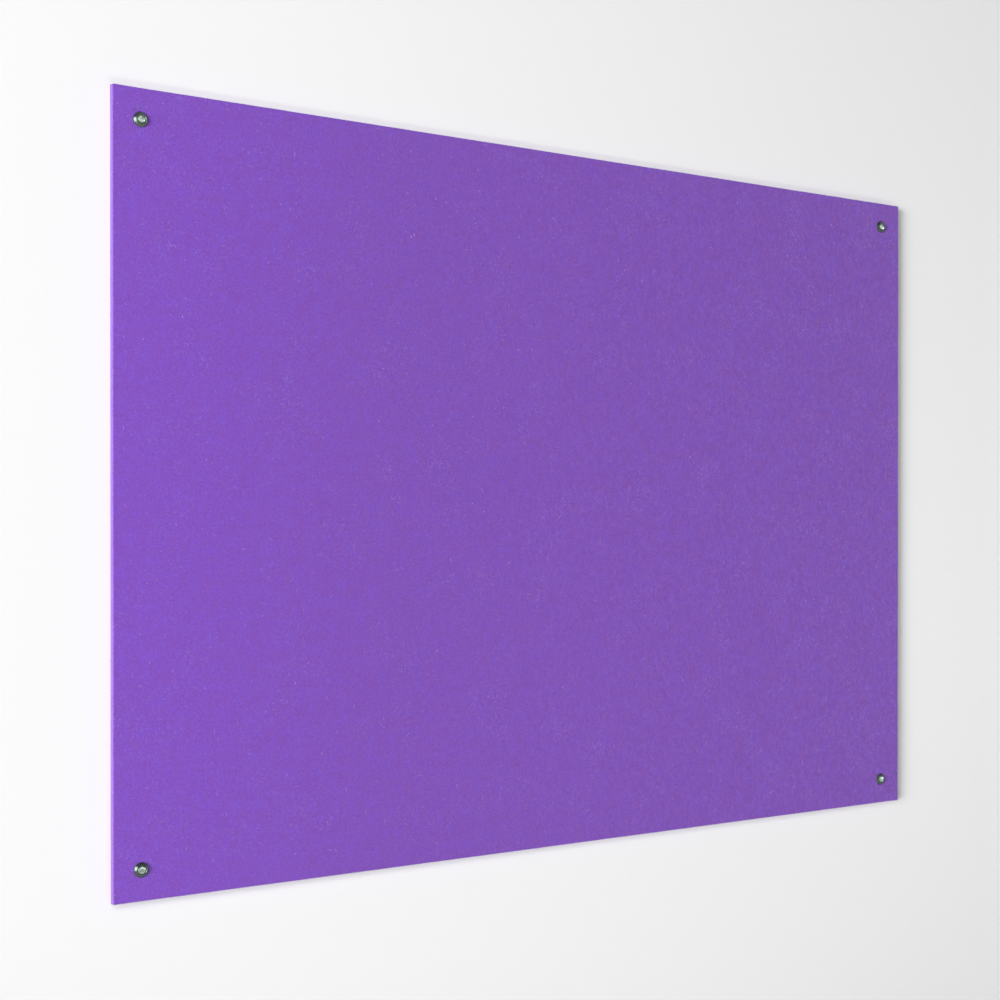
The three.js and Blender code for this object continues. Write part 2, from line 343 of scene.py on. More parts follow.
def make_wall():
    """The front of a wall, open behind the board and clear from behind, so that the back can be seen."""
    outer_x, low, high = WALL_REACH, FLOOR_LEVEL, WALL_TOP
    inner_x, inner_z = HALF_WIDTH - WALL_WINDOW_INSET, HALF_HEIGHT - WALL_WINDOW_INSET
    depth = BACK + WALL_GAP
    points = []
    for reach, bottom, top in ((outer_x, low, high), (inner_x, -inner_z, inner_z)):
        corners = ((-reach, bottom), (reach, bottom), (reach, top), (-reach, top))
        points += [(x, depth, z) for x, z in corners]
    faces = [(step, (step + 1) % 4, 4 + (step + 1) % 4, 4 + step) for step in range(4)]
    mesh = bpy.data.meshes.new("wall")
    mesh.from_pydata(points, [], faces)
    finish = Finish("painted_wall", Roughness=0.9, Specular_IOR_Level=0.0)
    grain = finish.noise(700, detail=3)
    paint = finish.give(Base_Color=WALL_COLOUR, Normal=finish.bump(grain, 0.05 * MM, 0.4))
    clear = finish.node("ShaderNodeBsdfTransparent")
    side = finish.node("ShaderNodeNewGeometry").outputs["Backfacing"]
    mixed = finish.node("ShaderNodeMixShader")
    finish.fill(mixed, {0: side, 1: finish.shader.outputs[0], 2: clear.outputs[0]})
    finish.link(mixed.outputs[0], finish.tree.nodes["Material Output"].inputs[0])
    mesh.materials.append(paint)
    add_object("wall", mesh)


def make_floor():
    reach = WALL_REACH
    mesh = bpy.data.meshes.new("floor")
    corners = [(-reach, -reach), (reach, -reach), (reach, reach), (-reach, reach)]
    mesh.from_pydata([(x, y, FLOOR_LEVEL) for x, y in corners], [], [(0, 1, 2, 3)])
    finish = Finish("pale_floor", Roughness=0.8, Specular_IOR_Level=0.2)
    rays = finish.node("ShaderNodeLightPath")
    seen = finish.math("MAXIMUM", rays.outputs["Is Camera Ray"], rays.outputs["Is Glossy Ray"])
    seen = finish.math("MAXIMUM", seen, rays.outputs["Is Transmission Ray"])
    mesh.materials.append(finish.give(Base_Color=finish.blend(seen, FLOOR_BOUNCE, FLOOR_COLOUR)))
    add_object("floor", mesh)


# Light
SKY_STRENGTH = 0.15
WINDOW_TOWARDS = (-2.28, -1.0, 0.11)
WINDOW_SPREAD = math.radians(24)
WINDOW_STRENGTH = 3.31

# Softboxes as name, place, size and power: for felt and wall alone, for everything, and for metal alone
FELT_LAMPS = (
    ("high", (-1.7, -2.1, 1.24), (1.1, 1.1), 24),
    ("low", (-0.2, -1.6, -1.25), (2.4, 0.6), 12.8),
)
ROOM_LAMPS = (
    ("key", (-1.7, -1.0, -0.1), (0.5, 1.4), 2.0),
    ("side", (2.3, -1.0, -0.05), (0.5, 0.7), 3.5),
    ("rear", (-1.4, 2.6, 1.2), (2.0, 2.0), 60),
)
GLEAM_PANELS = (
    ("gleam", (-5.2, -2.1, 0.05), (2.2, 5.0), 190),
    ("glint", (4.9, -1.4, 0.14), (0.8, 1.2), 30),
    ("room", (0.3, -5.2, 1.65), (4.0, 5.9), 68),
    ("room_end", (3.3, -4.1, 0.1), (2.3, 4.4), 38),
)


def add_lamp(data, towards, place=(0, 0, 0)):
    """A lamp that shines from a direction and that no camera sees."""
    lamp = bpy.data.objects.new(data.name, data)
    bpy.context.scene.collection.objects.link(lamp)
    lamp.location = place
    lamp.rotation_euler = Vector(towards).to_track_quat("Z", "Y").to_euler()
    lamp.visible_camera = False
    return lamp


def add_softbox(name, place, size, power):
    data = bpy.data.lights.new(name, "AREA")
    data.shape = "RECTANGLE"
    data.size, data.size_y = size
    data.energy = power
    return add_lamp(data, place, place)


def add_window_light():
    data = bpy.data.lights.new("window", "SUN")
    data.energy = WINDOW_STRENGTH
    data.angle = WINDOW_SPREAD
    return add_lamp(data, WINDOW_TOWARDS)


def make_light():
    """A faint sky, a window, and softboxes that stay off metal or show on nothing else."""
    world = bpy.data.worlds.new("studio")
    world.use_nodes = True
    background = world.node_tree.nodes["Background"].inputs
    background["Color"].default_value = (1, 1, 1, 1)
    background["Strength"].default_value = SKY_STRENGTH
    bpy.context.scene.world = world
    add_window_light().visible_glossy = False
    for lamp in FELT_LAMPS:
        add_softbox(*lamp).visible_glossy = False
    for lamp in ROOM_LAMPS:
        add_softbox(*lamp)
    for panel in GLEAM_PANELS:
        add_softbox(*panel).visible_diffuse = False


# Materials
# Stretches of X where the felt's painted light from the left fades out, and where it gets cloudier
FELT_LIGHT_FADE = (-0.6, -0.25)
FELT_CLOUDING = (-0.5, 0.6)
FELT_CLOUD_SHARE = 0.26
FELT_FLECK_SHARE = 0.6
# Share of the painted sheen on the felt's sides
FELT_EDGE_SHEEN_SHARE = 0.12
FELT_GRAIN_DEPTH = 0.35 * MM

# Colours as sRGB codes, alone or in pairs to blend
# Painted light: the left pair is brighter and bluer than the right, standing in for the window light that
# falls on the left end
FELT_LIT_LEFT = (0x8A4FBE, 0x8657D8)
FELT_DIMMER_RIGHT = (0x864EB0, 0x8054CC)
FELT_CLOUDS = (0x5E3A90, 0xA880D8)
FELT_BLOTCHES = (0x8A4C9E, 0x7E58D0)
# Painted shade between the felt's fibres and painted light on their ends, blended in as a fine random mottle
FELT_HOLLOW_SHADE = 0x6A409C
FELT_TIP_LIGHT = 0xB095E4
FELT_STRAND = 0xB79DEB
# Painted sheen: the pale tone blended onto the felt's sides
FELT_EDGE_SHEEN = 0xB18D6C
FELT_SHEEN = 0xE6DEFA
LOOSE_FIBRE = (0x7A4FB4, 0xC9B4F2)
SOFTBOARD = (0xA58659, 0xBE9F71)
SOFTBOARD_CHIP = 0xD9C299
SOFTBOARD_SPECK = 0x6E5232
NICKEL = (0x65736A, 0x79887E)
ZINC = (0xC4D8CB, 0xD8EBDF)
WIRE = (0xA6A9A9, 0xC2C5C4)
NYLON = (0x969998, 0xA5A8A7)
METAL_GRAIN = 900


def felt_ground(felt):
    """The dye in patches and tufts, with painted light making the left end bluer and brighter, and cloudier
    towards the right.
    """
    across = felt.axis(felt.place, "X")
    patches = felt.between(felt.noise(75, detail=5, roughness=0.68), 0.36, 0.64)
    tufts = felt.between(felt.noise(260, detail=3, roughness=0.7, place=felt.shifted), 0.34, 0.66)
    hue = felt.math("ADD", felt.math("MULTIPLY", patches, 0.5), felt.math("MULTIPLY", tufts, 0.5))
    # Painted light: the felt's tone fades across X from the brighter, bluer left pair to the dimmer right
    # pair
    left_light_share = felt.between(across, *FELT_LIGHT_FADE)
    ground = felt.blend(left_light_share, felt.tones(hue, FELT_LIT_LEFT), felt.tones(hue, FELT_DIMMER_RIGHT))
    clouding = felt.between(across, *FELT_CLOUDING, 0.0, FELT_CLOUD_SHARE)
    upright = felt.stretched((1.35, 1, 0.75))
    clouds = felt.between(felt.noise(150, detail=4, roughness=0.75, place=upright), 0.36, 0.64)
    ground = felt.blend(clouding, ground, felt.tones(clouds, FELT_CLOUDS))
    blotches = felt.between(felt.noise(52, detail=4, roughness=0.7, place=felt.shifted), 0.38, 0.62)
    return felt.blend(clouding, ground, felt.tones(blotches, FELT_BLOTCHES))


def felt_flecks(felt):
    """Pale strands, in loose clusters."""
    clusters = felt.between(felt.noise(14, detail=3, roughness=0.65), 0.5, 0.68, 0.06, 1.0)
    strands = felt.math("MAXIMUM", strand_lines(felt, 110, 0.5), strand_lines(felt, 190, 0.46))
    return felt.math("MULTIPLY", felt.math("MULTIPLY", strands, clusters), FELT_FLECK_SHARE)


def felt_finish():
    """Violet needle felt: mottled, with painted shade between its fibres, painted light on their ends, pale
    strands on them and a painted sheen on its sides.
    """
    felt = Finish("violet_needle_felt", Roughness=0.95, Specular_IOR_Level=0.1)
    felt.give(Sheen_Weight=0.9, Sheen_Roughness=0.35, Sheen_Tint=srgb(FELT_SHEEN))
    ground = felt_ground(felt)
    grain = felt.noise(430, detail=4, roughness=0.7)
    # Painted shade and painted light: a fine noise darkens the felt as if shaded between its fibres and
    # lightens it as if lit on their ends
    hollow_shade = felt.blend(0.42, ground, srgb(FELT_HOLLOW_SHADE))
    lit_ends = felt.blend(0.1, ground, srgb(FELT_TIP_LIGHT))
    flecks = felt_flecks(felt)
    face = felt.blend(flecks, felt.blend(felt.between(grain, 0.3, 0.7), hollow_shade, lit_ends), srgb(FELT_STRAND))
    # Painted sheen: faces that turn sideways from the front are blended towards a paler tone, standing in
    # for the whitish sheen of fibres seen at a grazing angle
    facing = felt.axis(felt.node("ShaderNodeNewGeometry").outputs["Normal"], "Y")
    edge_sheen_share = felt.between(felt.math("ABSOLUTE", facing), 0.3, 0.8, FELT_EDGE_SHEEN_SHARE, 0.0)
    relief = felt.bump(felt.math("ADD", grain, flecks), FELT_GRAIN_DEPTH, 0.8)
    return felt.give(Base_Color=felt.blend(edge_sheen_share, face, srgb(FELT_EDGE_SHEEN)), Normal=relief)


def strand_lines(felt, scale, level):
    """Broken curly lines, where a bent noise passes one level."""
    curls = felt.noise(scale, detail=2, roughness=0.7, distortion=1.4)
    curl = felt.math("ABSOLUTE", felt.math("SUBTRACT", curls, level))
    broken = felt.between(felt.noise(scale * 2.2, detail=2), 0.5, 0.6)
    return felt.math("MULTIPLY", felt.between(curl, 0.0, 0.014, 1.0, 0.0), broken)


def fibre_finish():
    """Loose fibres, each with a tone of its own, few of them pale."""
    finish = Finish("loose_felt_fibre", Roughness=0.8, Specular_IOR_Level=0.2)
    tone = finish.node("ShaderNodeAttribute", attribute_name="fibre_tone").outputs["Fac"]
    colour = finish.tones(finish.math("POWER", tone, 2.2), LOOSE_FIBRE)
    return finish.give(Base_Color=colour, Sheen_Weight=0.3)


def softboard_finish():
    """Wood fibre board: tan, with matted fibres and the print of the forming screen."""
    board = Finish("softboard", Roughness=0.9, Specular_IOR_Level=0.1)
    patch = board.between(board.noise(30, detail=5, roughness=0.65), 0.3, 0.7)
    ground = board.tones(patch, SOFTBOARD)
    along = board.noise(240, detail=3, distortion=1.5, place=board.stretched((1, 1, 0.25)))
    across = board.noise(240, detail=3, distortion=1.5, place=board.stretched((0.25, 1, 1)))
    chips = board.math("MAXIMUM", board.between(along, 0.6, 0.68), board.between(across, 0.6, 0.68))
    colour = board.blend(board.math("MULTIPLY", chips, 0.5), ground, srgb(SOFTBOARD_CHIP))
    specks = board.between(board.noise(420, detail=1), 0.68, 0.74, 0.0, 0.6)
    colour = board.blend(specks, colour, srgb(SOFTBOARD_SPECK))
    rows = board.node("ShaderNodeTexWave", bands_direction="X")
    board.fill(rows, {"Vector": board.place, "Scale": 110, "Distortion": 0.3})
    columns = board.node("ShaderNodeTexWave", bands_direction="Z")
    board.fill(columns, {"Vector": board.place, "Scale": 110, "Distortion": 0.3})
    screen = board.math("MULTIPLY", rows.outputs["Fac"], columns.outputs["Fac"])
    relief = board.bump(board.noise(260, detail=4), 0.5 * MM, 0.7)
    relief = board.bump(screen, 0.25 * MM, 0.5, under=relief)
    return board.give(Base_Color=colour, Normal=relief)


def metal_finish(name, pair, roughness):
    """Plated metal with a cloudy tone and fine wear in its gloss."""
    metal = Finish(name, Metallic=1.0)
    cloud = metal.between(metal.noise(260, detail=3), 0.3, 0.7)
    wear = metal.between(metal.noise(METAL_GRAIN, detail=4, roughness=0.7), 0.35, 0.7, *roughness)
    relief = metal.bump(metal.noise(METAL_GRAIN * 2, detail=2), 0.01 * MM, 0.5)
    return metal.give(Base_Color=metal.tones(cloud, pair), Roughness=wear, Normal=relief)


def nylon_finish():
    """Grey moulded nylon, a little cloudy."""
    nylon = Finish("plug_nylon", Specular_IOR_Level=0.45)
    nylon.give(Subsurface_Weight=0.15, Subsurface_Radius=(1, 1, 1), Subsurface_Scale=0.6 * MM)
    cloud = nylon.between(nylon.noise(180, detail=3), 0.3, 0.7)
    gloss = nylon.between(nylon.noise(700, detail=2), 0.3, 0.7, 0.38, 0.55)
    relief = nylon.bump(nylon.noise(900), 0.02 * MM, 0.5)
    return nylon.give(Base_Color=nylon.tones(cloud, NYLON), Roughness=gloss, Normal=relief)


# Felt cover
SIDE_STEP = 8 * MM
DIMPLE_REACH = 18 * MM
DIMPLE_STEP = 1.5 * MM
FELT_SWELL = 0.2 * MM
CORNER_FOLD = 2.0 * MM
CORNER_FOLD_REACH = 14 * MM
WASHER_RADIUS = (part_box("cup_washer_top_left")[1].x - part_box("cup_washer_top_left")[0].x) / 2
WASHER_GRIP = 0.9 * WASHER_RADIUS
CORNER_STEPS = 5
BEND_STEPS = 5
BEND_LEAD = 1 * MM
RETURN_STEP = 4 * MM
CUT_DEPTH = 1.5 * FELT_THICKNESS
UNEVENNESS = ((9, 0.10 * MM), (38, 0.06 * MM), (120, 0.03 * MM))


def centre_of(node):
    low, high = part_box(node)
    return (low.x + high.x) / 2, (low.z + high.z) / 2


FIXINGS = {corner: centre_of(f"cup_washer_{corner}") for corner in CORNERS}


def spaced(start, end, step):
    return np.linspace(start, end, max(2, round(abs(end - start) / step) + 1))


def grid_lines(half, low, high):
    """Places across the front, close together round the fixings."""
    near = spaced(-DIMPLE_REACH, DIMPLE_REACH, DIMPLE_STEP)
    before = spaced(-half, low - DIMPLE_REACH, 2 * DIMPLE_STEP)
    between = spaced(low + DIMPLE_REACH, high - DIMPLE_REACH, SIDE_STEP)
    after = spaced(high + DIMPLE_REACH, half, 2 * DIMPLE_STEP)
    return np.unique(np.concatenate([before, low + near, between, high + near, after]).round(7))


FIXING_LEFT, FIXING_BOTTOM = FIXINGS["bottom_left"]
FIXING_RIGHT, FIXING_TOP = FIXINGS["top_right"]
GRID_X = grid_lines(HALF_WIDTH - CORNER_RADIUS, FIXING_LEFT, FIXING_RIGHT)
GRID_Z = grid_lines(HALF_HEIGHT - CORNER_RADIUS, FIXING_BOTTOM, FIXING_TOP)


def cover_loop(inset, depth, lean):
    """One loop of the cover: points and outward directions, at an inset from the edges.

    lean is the angle of the surface there: 0 on the sides, a quarter turn forwards on the front.
    """
    radius = max(CORNER_RADIUS - inset, 0)
    reach = max(inset, CORNER_RADIUS)
    half_x, half_z = HALF_WIDTH - reach, HALF_HEIGHT - reach
    xs = GRID_X / GRID_X[-1] * half_x
    zs = GRID_Z / GRID_Z[-1] * half_z
    sides = [
        (xs, np.full(len(xs), -half_z), -UPRIGHT),
        (np.full(len(zs), half_x), zs, 0.0),
        (xs[::-1], np.full(len(xs), half_z), UPRIGHT),
        (np.full(len(zs), -half_x), zs[::-1], 2 * UPRIGHT),
    ]
    points, directions = [], []
    for side_x, side_z, facing in sides:
        places = [(x, z, facing) for x, z in zip(side_x, side_z)]
        for step in range(1, CORNER_STEPS):
            places.append((side_x[-1], side_z[-1], facing + UPRIGHT * step / CORNER_STEPS))
        for x, z, angle in places:
            across = Vector((math.cos(angle), 0, math.sin(angle)))
            points.append(Vector((x, depth, z)) + across * radius)
            directions.append(across * math.cos(lean) + Vector((0, -math.sin(lean), 0)))
    return points, directions


def cover_section(margin):
    """Insets, depths and leans of the loops, from the inner edge of the return to the front."""
    bend = BEND_RADIUS - margin
    flat = spaced(RETURN_WIDTH, BEND_RADIUS + BEND_LEAD, RETURN_STEP)
    section = [(inset, BACK - margin, -UPRIGHT) for inset in flat]
    for step in range(BEND_STEPS + 1):
        lean = -UPRIGHT + UPRIGHT * step / BEND_STEPS
        inset = BEND_RADIUS - bend * math.cos(lean)
        section.append((inset, BACK - BEND_RADIUS - bend * math.sin(lean), lean))
    section.append((margin, (BACK + FRONT) / 2, 0.0))
    for step in range(BEND_STEPS + 1):
        lean = UPRIGHT * step / BEND_STEPS
        inset = BEND_RADIUS - bend * math.cos(lean)
        section.append((inset, FRONT + BEND_RADIUS - bend * math.sin(lean), lean))
    section.append((CORNER_RADIUS, FRONT + margin, UPRIGHT))
    return section


def cover_surface(margin):
    """Points, outward directions and faces of one surface of the cover, open behind."""
    points, directions, faces = [], [], []
    section = cover_section(margin)
    for inset, depth, lean in section:
        loop = cover_loop(inset, depth, lean)
        points += loop[0]
        directions += loop[1]
    count = len(points) // len(section)
    for row in range(len(section) - 1):
        for step in range(count):
            after = (step + 1) % count
            faces.append((row * count + step, row * count + after,
                          (row + 1) * count + after, (row + 1) * count + step))
    start = len(points)
    points += [Vector((x, FRONT + margin, z)) for x in GRID_X for z in GRID_Z]
    directions += [Vector((0, -1, 0))] * (len(GRID_X) * len(GRID_Z))
    rows = len(GRID_Z)
    for column in range(len(GRID_X) - 1):
        for row in range(rows - 1):
            corner = start + column * rows + row
            faces.append((corner, corner + 1, corner + rows + 1, corner + rows))
    return points, directions, faces, count


def unevenness(point, facing):
    """Height of the felt's loose surface at a point, which the washers press flat round them."""
    height = sum(size * noise.noise(point * scale) for scale, size in UNEVENNESS)
    height += FELT_SWELL * max(facing, 0) ** 2
    for x, z in FIXINGS.values():
        distance = math.hypot(point.x - x, point.z - z)
        if point.y < FRONT / 2 and distance < DIMPLE_REACH:
            share = (distance - WASHER_GRIP) / (DIMPLE_REACH - WASHER_GRIP)
            height *= 1 - (1 - min(max(share, 0), 1)) ** 3
    return height


def corner_fold(point):
    """How far the gathered felt of a corner stands out at a point, most of all next to the wall."""
    beside = (HALF_WIDTH - abs(point.x)) / CORNER_FOLD_REACH
    below = (HALF_HEIGHT - abs(point.z)) / CORNER_FOLD_REACH
    share = max(1 - beside, 0) * max(1 - below, 0) ** 2
    depth = (point.y - FRONT) / (BACK - FRONT)
    return Vector((0, 0, math.copysign(CORNER_FOLD * share * max(depth, 0), point.z)))


def make_outer_surface():
    points, directions, faces, count = cover_surface(0.0)
    moved = []
    for point, direction in zip(points, directions):
        share = 0.0 if direction.y > 0.5 else 1.0
        loose = direction * unevenness(point, -direction.y) * share
        moved.append(point + loose + corner_fold(point))
    return moved, faces, count


def fixing_cutters():
    """Screw holes through the felt."""
    meshes = []
    profile = [(0, -OVERRUN), (HOLE_RADIUS, -OVERRUN), (HOLE_RADIUS, OVERRUN), (0, OVERRUN)]
    for x, z in FIXINGS.values():
        meshes.append(placed_at(lathe("hole", profile, HOLE_SIDES, FRONT), x, z))
    return meshes


def mitre_cutters():
    """Seams where the returns meet behind the corners."""
    start = BEND_RADIUS + FELT_THICKNESS
    length = math.sqrt(2) * (RETURN_WIDTH - start + OVERRUN)
    inset = (RETURN_WIDTH + start + OVERRUN) / 2
    points = box_points(length, BACK - CUT_DEPTH, BACK + OVERRUN, MITRE_SEAM)
    meshes = []
    for x, z in FIXINGS.values():
        side, end = math.copysign(1, x), math.copysign(1, z)
        seam = mesh_from("seam", points, BOX_FACES)
        turn = -side * end * math.pi / 4
        meshes.append(placed_at(seam, side * (HALF_WIDTH - inset), end * (HALF_HEIGHT - inset), turn))
    return meshes


def make_cover():
    outer, faces, count = make_outer_surface()
    inner, _, inner_faces, _ = cover_surface(FELT_THICKNESS)
    shift = len(outer)
    faces = faces + [tuple(index + shift for index in face) for face in inner_faces]
    for step in range(count):
        after = (step + 1) % count
        faces.append((step, after, shift + after, shift + step))
    cover = add_object("felt_wrap", mesh_from("felt_wrap", outer + inner, faces))
    combine(cover, joined("openings", fixing_cutters() + mitre_cutters()))
    combine(cover, joined("staple_marks", [staple_room(*place) for place in STAPLES]))
    smooth(cover.data, 40)
    return cover


# Staples
STAPLE_CROWN = 10 * MM
STAPLE_LEG = 6 * MM
WIRE_WIDTH = 0.9 * MM
WIRE_THICKNESS = 0.6 * MM
STAPLE_BEND = 0.5 * MM
STAPLE_BEND_STEPS = 4
STAPLE_POINT = 0.7 * MM
STAPLE_POINT_SHARE = 0.25
STAPLE_CLEARANCE = 0.3 * MM
WIRE_SECTION_SHARES = (
    (-1, -0.7), (-0.6, -1), (0.6, -1), (1, -0.7), (1, 0.7), (0.6, 1), (-0.6, 1), (-1, 0.7),
)
CROWN_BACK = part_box("staple_top_01")[1].y


def staple_nodes():
    return sorted(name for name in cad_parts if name.startswith("staple_"))


def staple_place(node):
    """Where a staple's centre is, and how far it's turned from lying along X."""
    low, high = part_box(node)
    x, z = centre_of(node)
    width, height = high.x - low.x, high.z - low.z
    if abs(width - height) < WIRE_WIDTH:
        turn = math.copysign(math.pi / 4, x * z)
    else:
        turn = 0 if width > height else UPRIGHT
    return x, z, turn


STAPLES = [staple_place(node) for node in staple_nodes()]


def staple_room(x, z, turn):
    length = STAPLE_CROWN + 2 * STAPLE_CLEARANCE
    height = WIRE_WIDTH + 2 * STAPLE_CLEARANCE
    points = box_points(length, BACK - CUT_DEPTH, BACK + OVERRUN, height)
    return placed_at(mesh_from("room", points, BOX_FACES), x, z, turn)


def staple_shape():
    """One staple lying along X: a flat wire bent twice, with chisel points."""
    half = (STAPLE_CROWN - WIRE_THICKNESS) / 2
    bend = STAPLE_BEND + WIRE_THICKNESS / 2
    crown = CROWN_BACK - WIRE_THICKNESS / 2
    tip = CROWN_BACK - STAPLE_LEG
    path = [(-half, tip, math.pi), (-half, tip + STAPLE_POINT, math.pi)]
    for side in (-1, 1):
        for step in range(STAPLE_BEND_STEPS + 1):
            share = step / STAPLE_BEND_STEPS if side < 0 else 1 - step / STAPLE_BEND_STEPS
            angle = math.pi - UPRIGHT * share
            x = side * (half - bend - bend * math.cos(angle))
            path.append((x, crown - bend + bend * math.sin(angle), angle if side < 0 else math.pi - angle))
    path += [(half, tip + STAPLE_POINT, 0.0), (half, tip, 0.0)]
    rings = []
    for index, (x, y, angle) in enumerate(path):
        flat = STAPLE_POINT_SHARE if index in (0, len(path) - 1) else 1.0
        ring = []
        for across, wide in WIRE_SECTION_SHARES:
            out = across * WIRE_THICKNESS / 2 * flat
            ring.append((x + out * math.cos(angle), y + out * math.sin(angle), wide * WIRE_WIDTH / 2))
        rings.append(ring)
    return swept("staple", rings)


# Copies of one piece at several places
def copying_tree():
    """Sets a copy of an object on each point, turned by the point's own angle."""
    tree = Maker("copies", Places="Geometry", Copy="Object", Finish="Material")
    shape = tree.step("GeometryNodeObjectInfo", {"Object": tree.given["Copy"]}, "Geometry")
    turn = tree.step("GeometryNodeInputNamedAttribute", {"Name": "turn"}, "Attribute", data_type="FLOAT")
    angles = tree.step("ShaderNodeCombineXYZ", {"Y": turn})
    rotation = tree.step("FunctionNodeEulerToRotation", {0: angles})
    values = {"Points": tree.given["Places"], "Instance": shape, "Rotation": rotation}
    tree.finish(tree.step("GeometryNodeInstanceOnPoints", values))
    return tree


COPIES = copying_tree()


def make_copies(name, shape, places, material):
    """One mesh of several copies, from places that give x, z and turn."""
    points = bpy.data.meshes.new(name)
    points.from_pydata([(x, 0, z) for x, z, turn in places], [], [])
    turns = points.attributes.new("turn", "FLOAT", "POINT")
    turns.data.foreach_set("value", [turn for x, z, turn in places])
    piece = add_object(name, points)
    model = add_object(f"{name}_model", shape)
    COPIES.run(piece, Copy=model, Finish=material)
    bpy.data.objects.remove(model)
    return piece


# Cup washers
WASHER_SHEET = 0.6 * MM
WASHER_HEIGHT = 3.4 * MM
WASHER_SEAT_RADIUS = 2.3 * MM
WASHER_SEAT_FLOOR = 0.25 * MM
WASHER_CREST_RADIUS = 5.6 * MM
WASHER_CREST_EASE = 0.385 * MM
WASHER_RIM_WIDTH = 0.75 * MM
WASHER_RIM_HEIGHT = 0.8 * MM
WASHER_RIM_EASE = 0.12 * MM
WASHER_SLOPE_BOW = math.radians(12)
WASHER_CREST_START = math.radians(53)
WASHER_CREST_END = math.radians(135)
WASHER_CREST_STEPS = 9
WASHER_SLOPE_STEPS = 10
WASHER_INSIDE_STEPS = 6
WASHER_SIDES = 72


def bowed(start, end, turn, steps):
    """Points on an arc from one point to another, which turns through an angle."""
    (start_x, start_y), (end_x, end_y) = start, end
    chord = math.hypot(end_x - start_x, end_y - start_y)
    heading = math.atan2(end_y - start_y, end_x - start_x) - turn / 2
    length = chord * math.sin(turn / steps / 2) / math.sin(turn / 2)
    points = [start]
    for step in range(steps):
        angle = heading + turn * (step + 0.5) / steps
        points.append((points[-1][0] + length * math.cos(angle), points[-1][1] + length * math.sin(angle)))
    return points


def washer_shape():
    """A cup washer pressed from sheet: a sloped ring round a seat at 45 degrees."""
    underside = WASHER_SEAT_RADIUS - WASHER_SEAT_FLOOR + math.sqrt(2) * WASHER_SHEET
    inner_height = WASHER_HEIGHT - WASHER_SHEET
    inner_crest = (underside + inner_height, inner_height)
    inner_foot = (WASHER_RADIUS - WASHER_RIM_WIDTH, 0)
    rim = (WASHER_RADIUS, WASHER_RIM_HEIGHT)
    middle = (WASHER_CREST_RADIUS, WASHER_HEIGHT - WASHER_CREST_EASE)
    turn = (WASHER_CREST_START, WASHER_CREST_END, WASHER_CREST_STEPS)
    crest = arc(middle, WASHER_CREST_EASE, WASHER_CREST_EASE, *turn)
    profile = [(WASHER_SEAT_RADIUS + WASHER_SEAT_FLOOR / 2, 0), (underside, 0)]
    profile += bowed(inner_crest, inner_foot, -WASHER_SLOPE_BOW, WASHER_INSIDE_STEPS)
    profile += [(WASHER_RADIUS - WASHER_RIM_EASE, 0), (WASHER_RADIUS, WASHER_RIM_EASE)]
    profile += bowed(rim, crest[0], WASHER_SLOPE_BOW, WASHER_SLOPE_STEPS)
    profile += crest[1:]
    profile += [(WASHER_SEAT_RADIUS, WASHER_SEAT_FLOOR), (WASHER_SEAT_RADIUS, WASHER_SEAT_FLOOR / 2)]
    return lathe("washer", profile + profile[:1], WASHER_SIDES, FRONT, 60)


# Screws
SCREW_RADIUS = 2 * MM
SCREW_ROOT_RADIUS = 1.45 * MM
SCREW_LENGTH = 40 * MM
SCREW_POINT = 6 * MM
SCREW_PITCH = 1.8 * MM
SCREW_THREAD_LENGTH = 26 * MM
SCREW_NECK_RADIUS = 0.9 * SCREW_RADIUS
THREAD_START = 0.3 * SCREW_POINT
THREAD_FOOT = 0.45 * MM
THREAD_ROOT_SHARE = 0.9
THREAD_END_SHARE = 0.15
THREAD_STEPS = 16
HEAD_RADIUS = 4.2 * MM
HEAD_EDGE = 2.433 * MM
HEAD_LAND = 0.3 * MM
HEAD_EASE = 0.08 * MM
HEAD_RISE = 1.1 * MM
HEAD_STEPS = 14
HEAD_SIDES = 64
RECESS_WIDTH = 4.6 * MM
RECESS_WING = 1.1 * MM
RECESS_DEPTH = 1.8 * MM
RECESS_FLOOR_SHARE = 0.6
HUB_RADIUS = 1.35 * MM
HUB_FLOOR_RADIUS = 0.7 * MM
HUB_DEPTH = 2.3 * MM
HUB_SIDES = 24
RECESS_TURNS = {"top_left": 0.35, "top_right": 1.05, "bottom_left": 0.8, "bottom_right": 0.15}


def screw_blank():
    """A raised countersunk screw without its thread and recess."""
    tip = HEAD_EDGE - SCREW_LENGTH
    neck = SCREW_NECK_RADIUS
    land = HEAD_EDGE + HEAD_LAND
    profile = [
        (0, tip),
        (SCREW_ROOT_RADIUS, tip + SCREW_POINT),
        (SCREW_ROOT_RADIUS, tip + SCREW_THREAD_LENGTH),
        (neck, tip + SCREW_THREAD_LENGTH + SCREW_PITCH),
        (neck, HEAD_EDGE - HEAD_RADIUS + neck),
        (HEAD_RADIUS - HEAD_EASE, HEAD_EDGE - HEAD_EASE),
        (HEAD_RADIUS, HEAD_EDGE + HEAD_EASE),
        (HEAD_RADIUS, land),
    ]
    profile += arc((0, land), HEAD_RADIUS, HEAD_RISE, 0, UPRIGHT, HEAD_STEPS)[1:]
    return add_object("screw_model", lathe("screw", profile, HEAD_SIDES, FRONT, 35))


